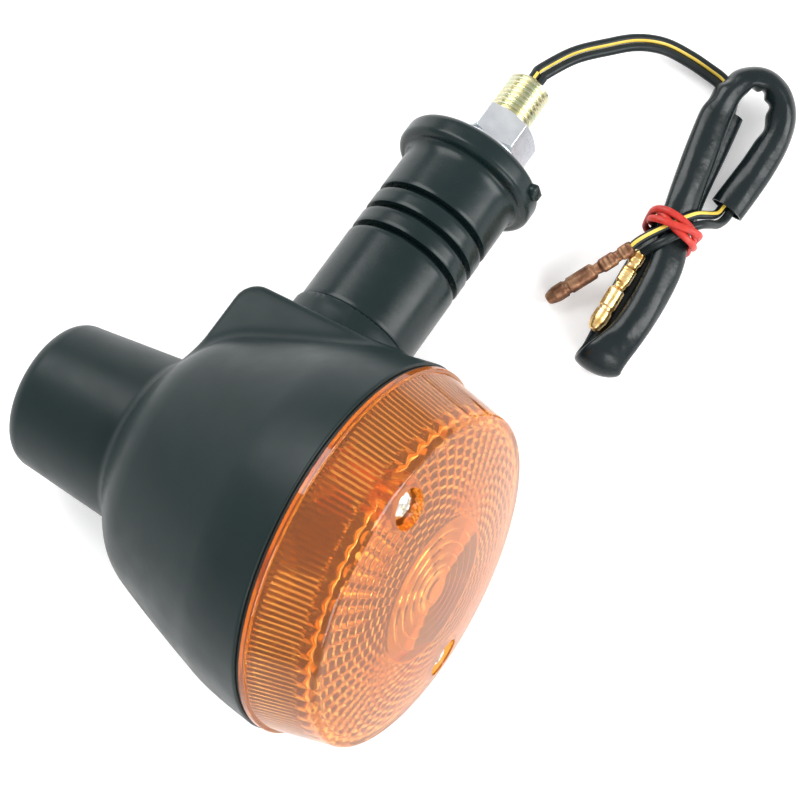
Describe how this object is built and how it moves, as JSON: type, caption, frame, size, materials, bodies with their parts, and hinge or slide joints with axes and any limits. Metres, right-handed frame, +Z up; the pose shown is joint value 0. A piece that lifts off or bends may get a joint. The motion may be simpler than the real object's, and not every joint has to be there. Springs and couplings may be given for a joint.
{
  "type": "turn signal indicator",
  "caption": "Round amber motorcycle turn signal on a grooved rubber stem with a hollow threaded stud, nut, and folded two-wire lead.",
  "frame": {"origin": "on the surface that the indicator lies on, under the middle of the box round the lamp and stem, without the wires", "axes": "+Z up from the surface; +Y along the stem towards the threaded stud, as seen from above; the lamp faces roughly +X and slightly up, because it lies on the rim of its housing, the end of its rear tube and the stem's flange"},
  "size_m": [0.1074, 0.1893, 0.0821],
  "materials": {
    "housing_plastic": "satin black moulded plastic",
    "amber_lens": "clear amber acrylic, gloss outside",
    "gasket_rubber": "matt black rubber",
    "stem_rubber": "smooth satin black rubber",
    "yellow_zinc": "yellow passivated zinc plate on a cut thread",
    "bright_zinc": "bright zinc plate",
    "plain_steel": "plain steel",
    "screw_steel": "nickel plated steel",
    "reflector_chrome": "bright plated reflector",
    "brass": "plain brass",
    "tarnished_brass": "brown tarnished brass",
    "gold_brass": "bright brass",
    "insulating_board": "brown pressed board",
    "bulb_clear": "clear blown glass",
    "filament_wire": "fine drawn wire",
    "wire_black": "black vinyl insulation",
    "wire_striped": "black vinyl insulation with one yellow line",
    "sleeve_vinyl": "soft black vinyl tube, satin with sharp glints",
    "band_rubber": "red rubber band"
  },
  "bodies": {
    "stem_mount": {"stem_rubber": "stem_rubber", "stem_leads": "wire_black", "mount_stud": "yellow_zinc", "wire_striped": "wire_striped", "wire_black": "wire_black", "wire_sleeve": "sleeve_vinyl", "rubber_band": "band_rubber", "bullet_striped": "tarnished_brass", "bullet_black": "gold_brass"},
    "washers": {"plain_washer": "bright_zinc", "spring_washer": "bright_zinc"},
    "nut": {"stud_nut": "bright_zinc"},
    "lamp": {"housing": "housing_plastic", "screw_insert_top": "brass", "screw_insert_bottom": "brass", "reflector": "reflector_chrome", "bulb_socket": "plain_steel", "terminal_board": "insulating_board", "live_terminal": "brass", "contact_spring": "plain_steel", "live_lead": "wire_black", "earth_lead": "wire_black", "stem_ferrule": "plain_steel", "stem_lock_washer": "plain_steel", "stem_nut": "plain_steel"},
    "lens": {"lens": "amber_lens", "lens_gasket": "gasket_rubber"},
    "top_screw": {"lens_screw_top": "screw_steel"},
    "bottom_screw": {"lens_screw_bottom": "screw_steel"},
    "bulb": {"contact_plate": "insulating_board", "bulb_base": "brass", "bulb_tip": "plain_steel", "bulb_glass": "bulb_clear", "glass_stem": "bulb_clear", "filament_posts": "filament_wire", "filament": "filament_wire"}
  },
  "joints": [
    {"name": "stem_flex", "type": "hinge", "parent": "stem_mount", "child": "lamp", "pos_m": [-0.00213, 0.02971, 0.02019], "axis": [-0.3428, 0.1558, 0.9264], "range_deg": [-15, 15], "stiffness_Nm_per_rad": 5, "deforming": ["stem_rubber", "stem_leads"]},
    {"name": "washer_travel", "type": "slide", "parent": "stem_mount", "child": "washers", "axis": [0, 0.9862, -0.1658], "range_m": [0, 0.01]},
    {"name": "nut_turn", "type": "hinge", "parent": "washers", "child": "nut", "pos_m": [-0.00213, 0.06107, 0.01492], "axis": [0, 0.9862, -0.1658], "range_deg": [0, 2880]},
    {"name": "lens_pull", "type": "slide", "parent": "lamp", "child": "lens", "axis": [0.9394, 0.0568, 0.338], "range_m": [0, 0.06]},
    {"name": "top_screw_turn", "type": "hinge", "parent": "lens", "child": "top_screw", "pos_m": [0.025, -0.02895, 0.07297], "axis": [0.9394, 0.0568, 0.338], "continuous": true},
    {"name": "bottom_screw_turn", "type": "hinge", "parent": "lens", "child": "bottom_screw", "pos_m": [0.04588, -0.04159, 0.01707], "axis": [0.9394, 0.0568, 0.338], "continuous": true},
    {"name": "bulb_push", "type": "slide", "parent": "lamp", "child": "bulb", "axis": [-0.9394, -0.0568, -0.338], "range_m": [0, 0.0015], "stiffness_N_per_m": 2500, "springref_m": -0.004, "deforming": ["contact_spring"]}
  ],
  "couplings": [
    {"joint": "nut_turn", "follows": "washer_travel", "rad_per_m": 5026.5}
  ]
}
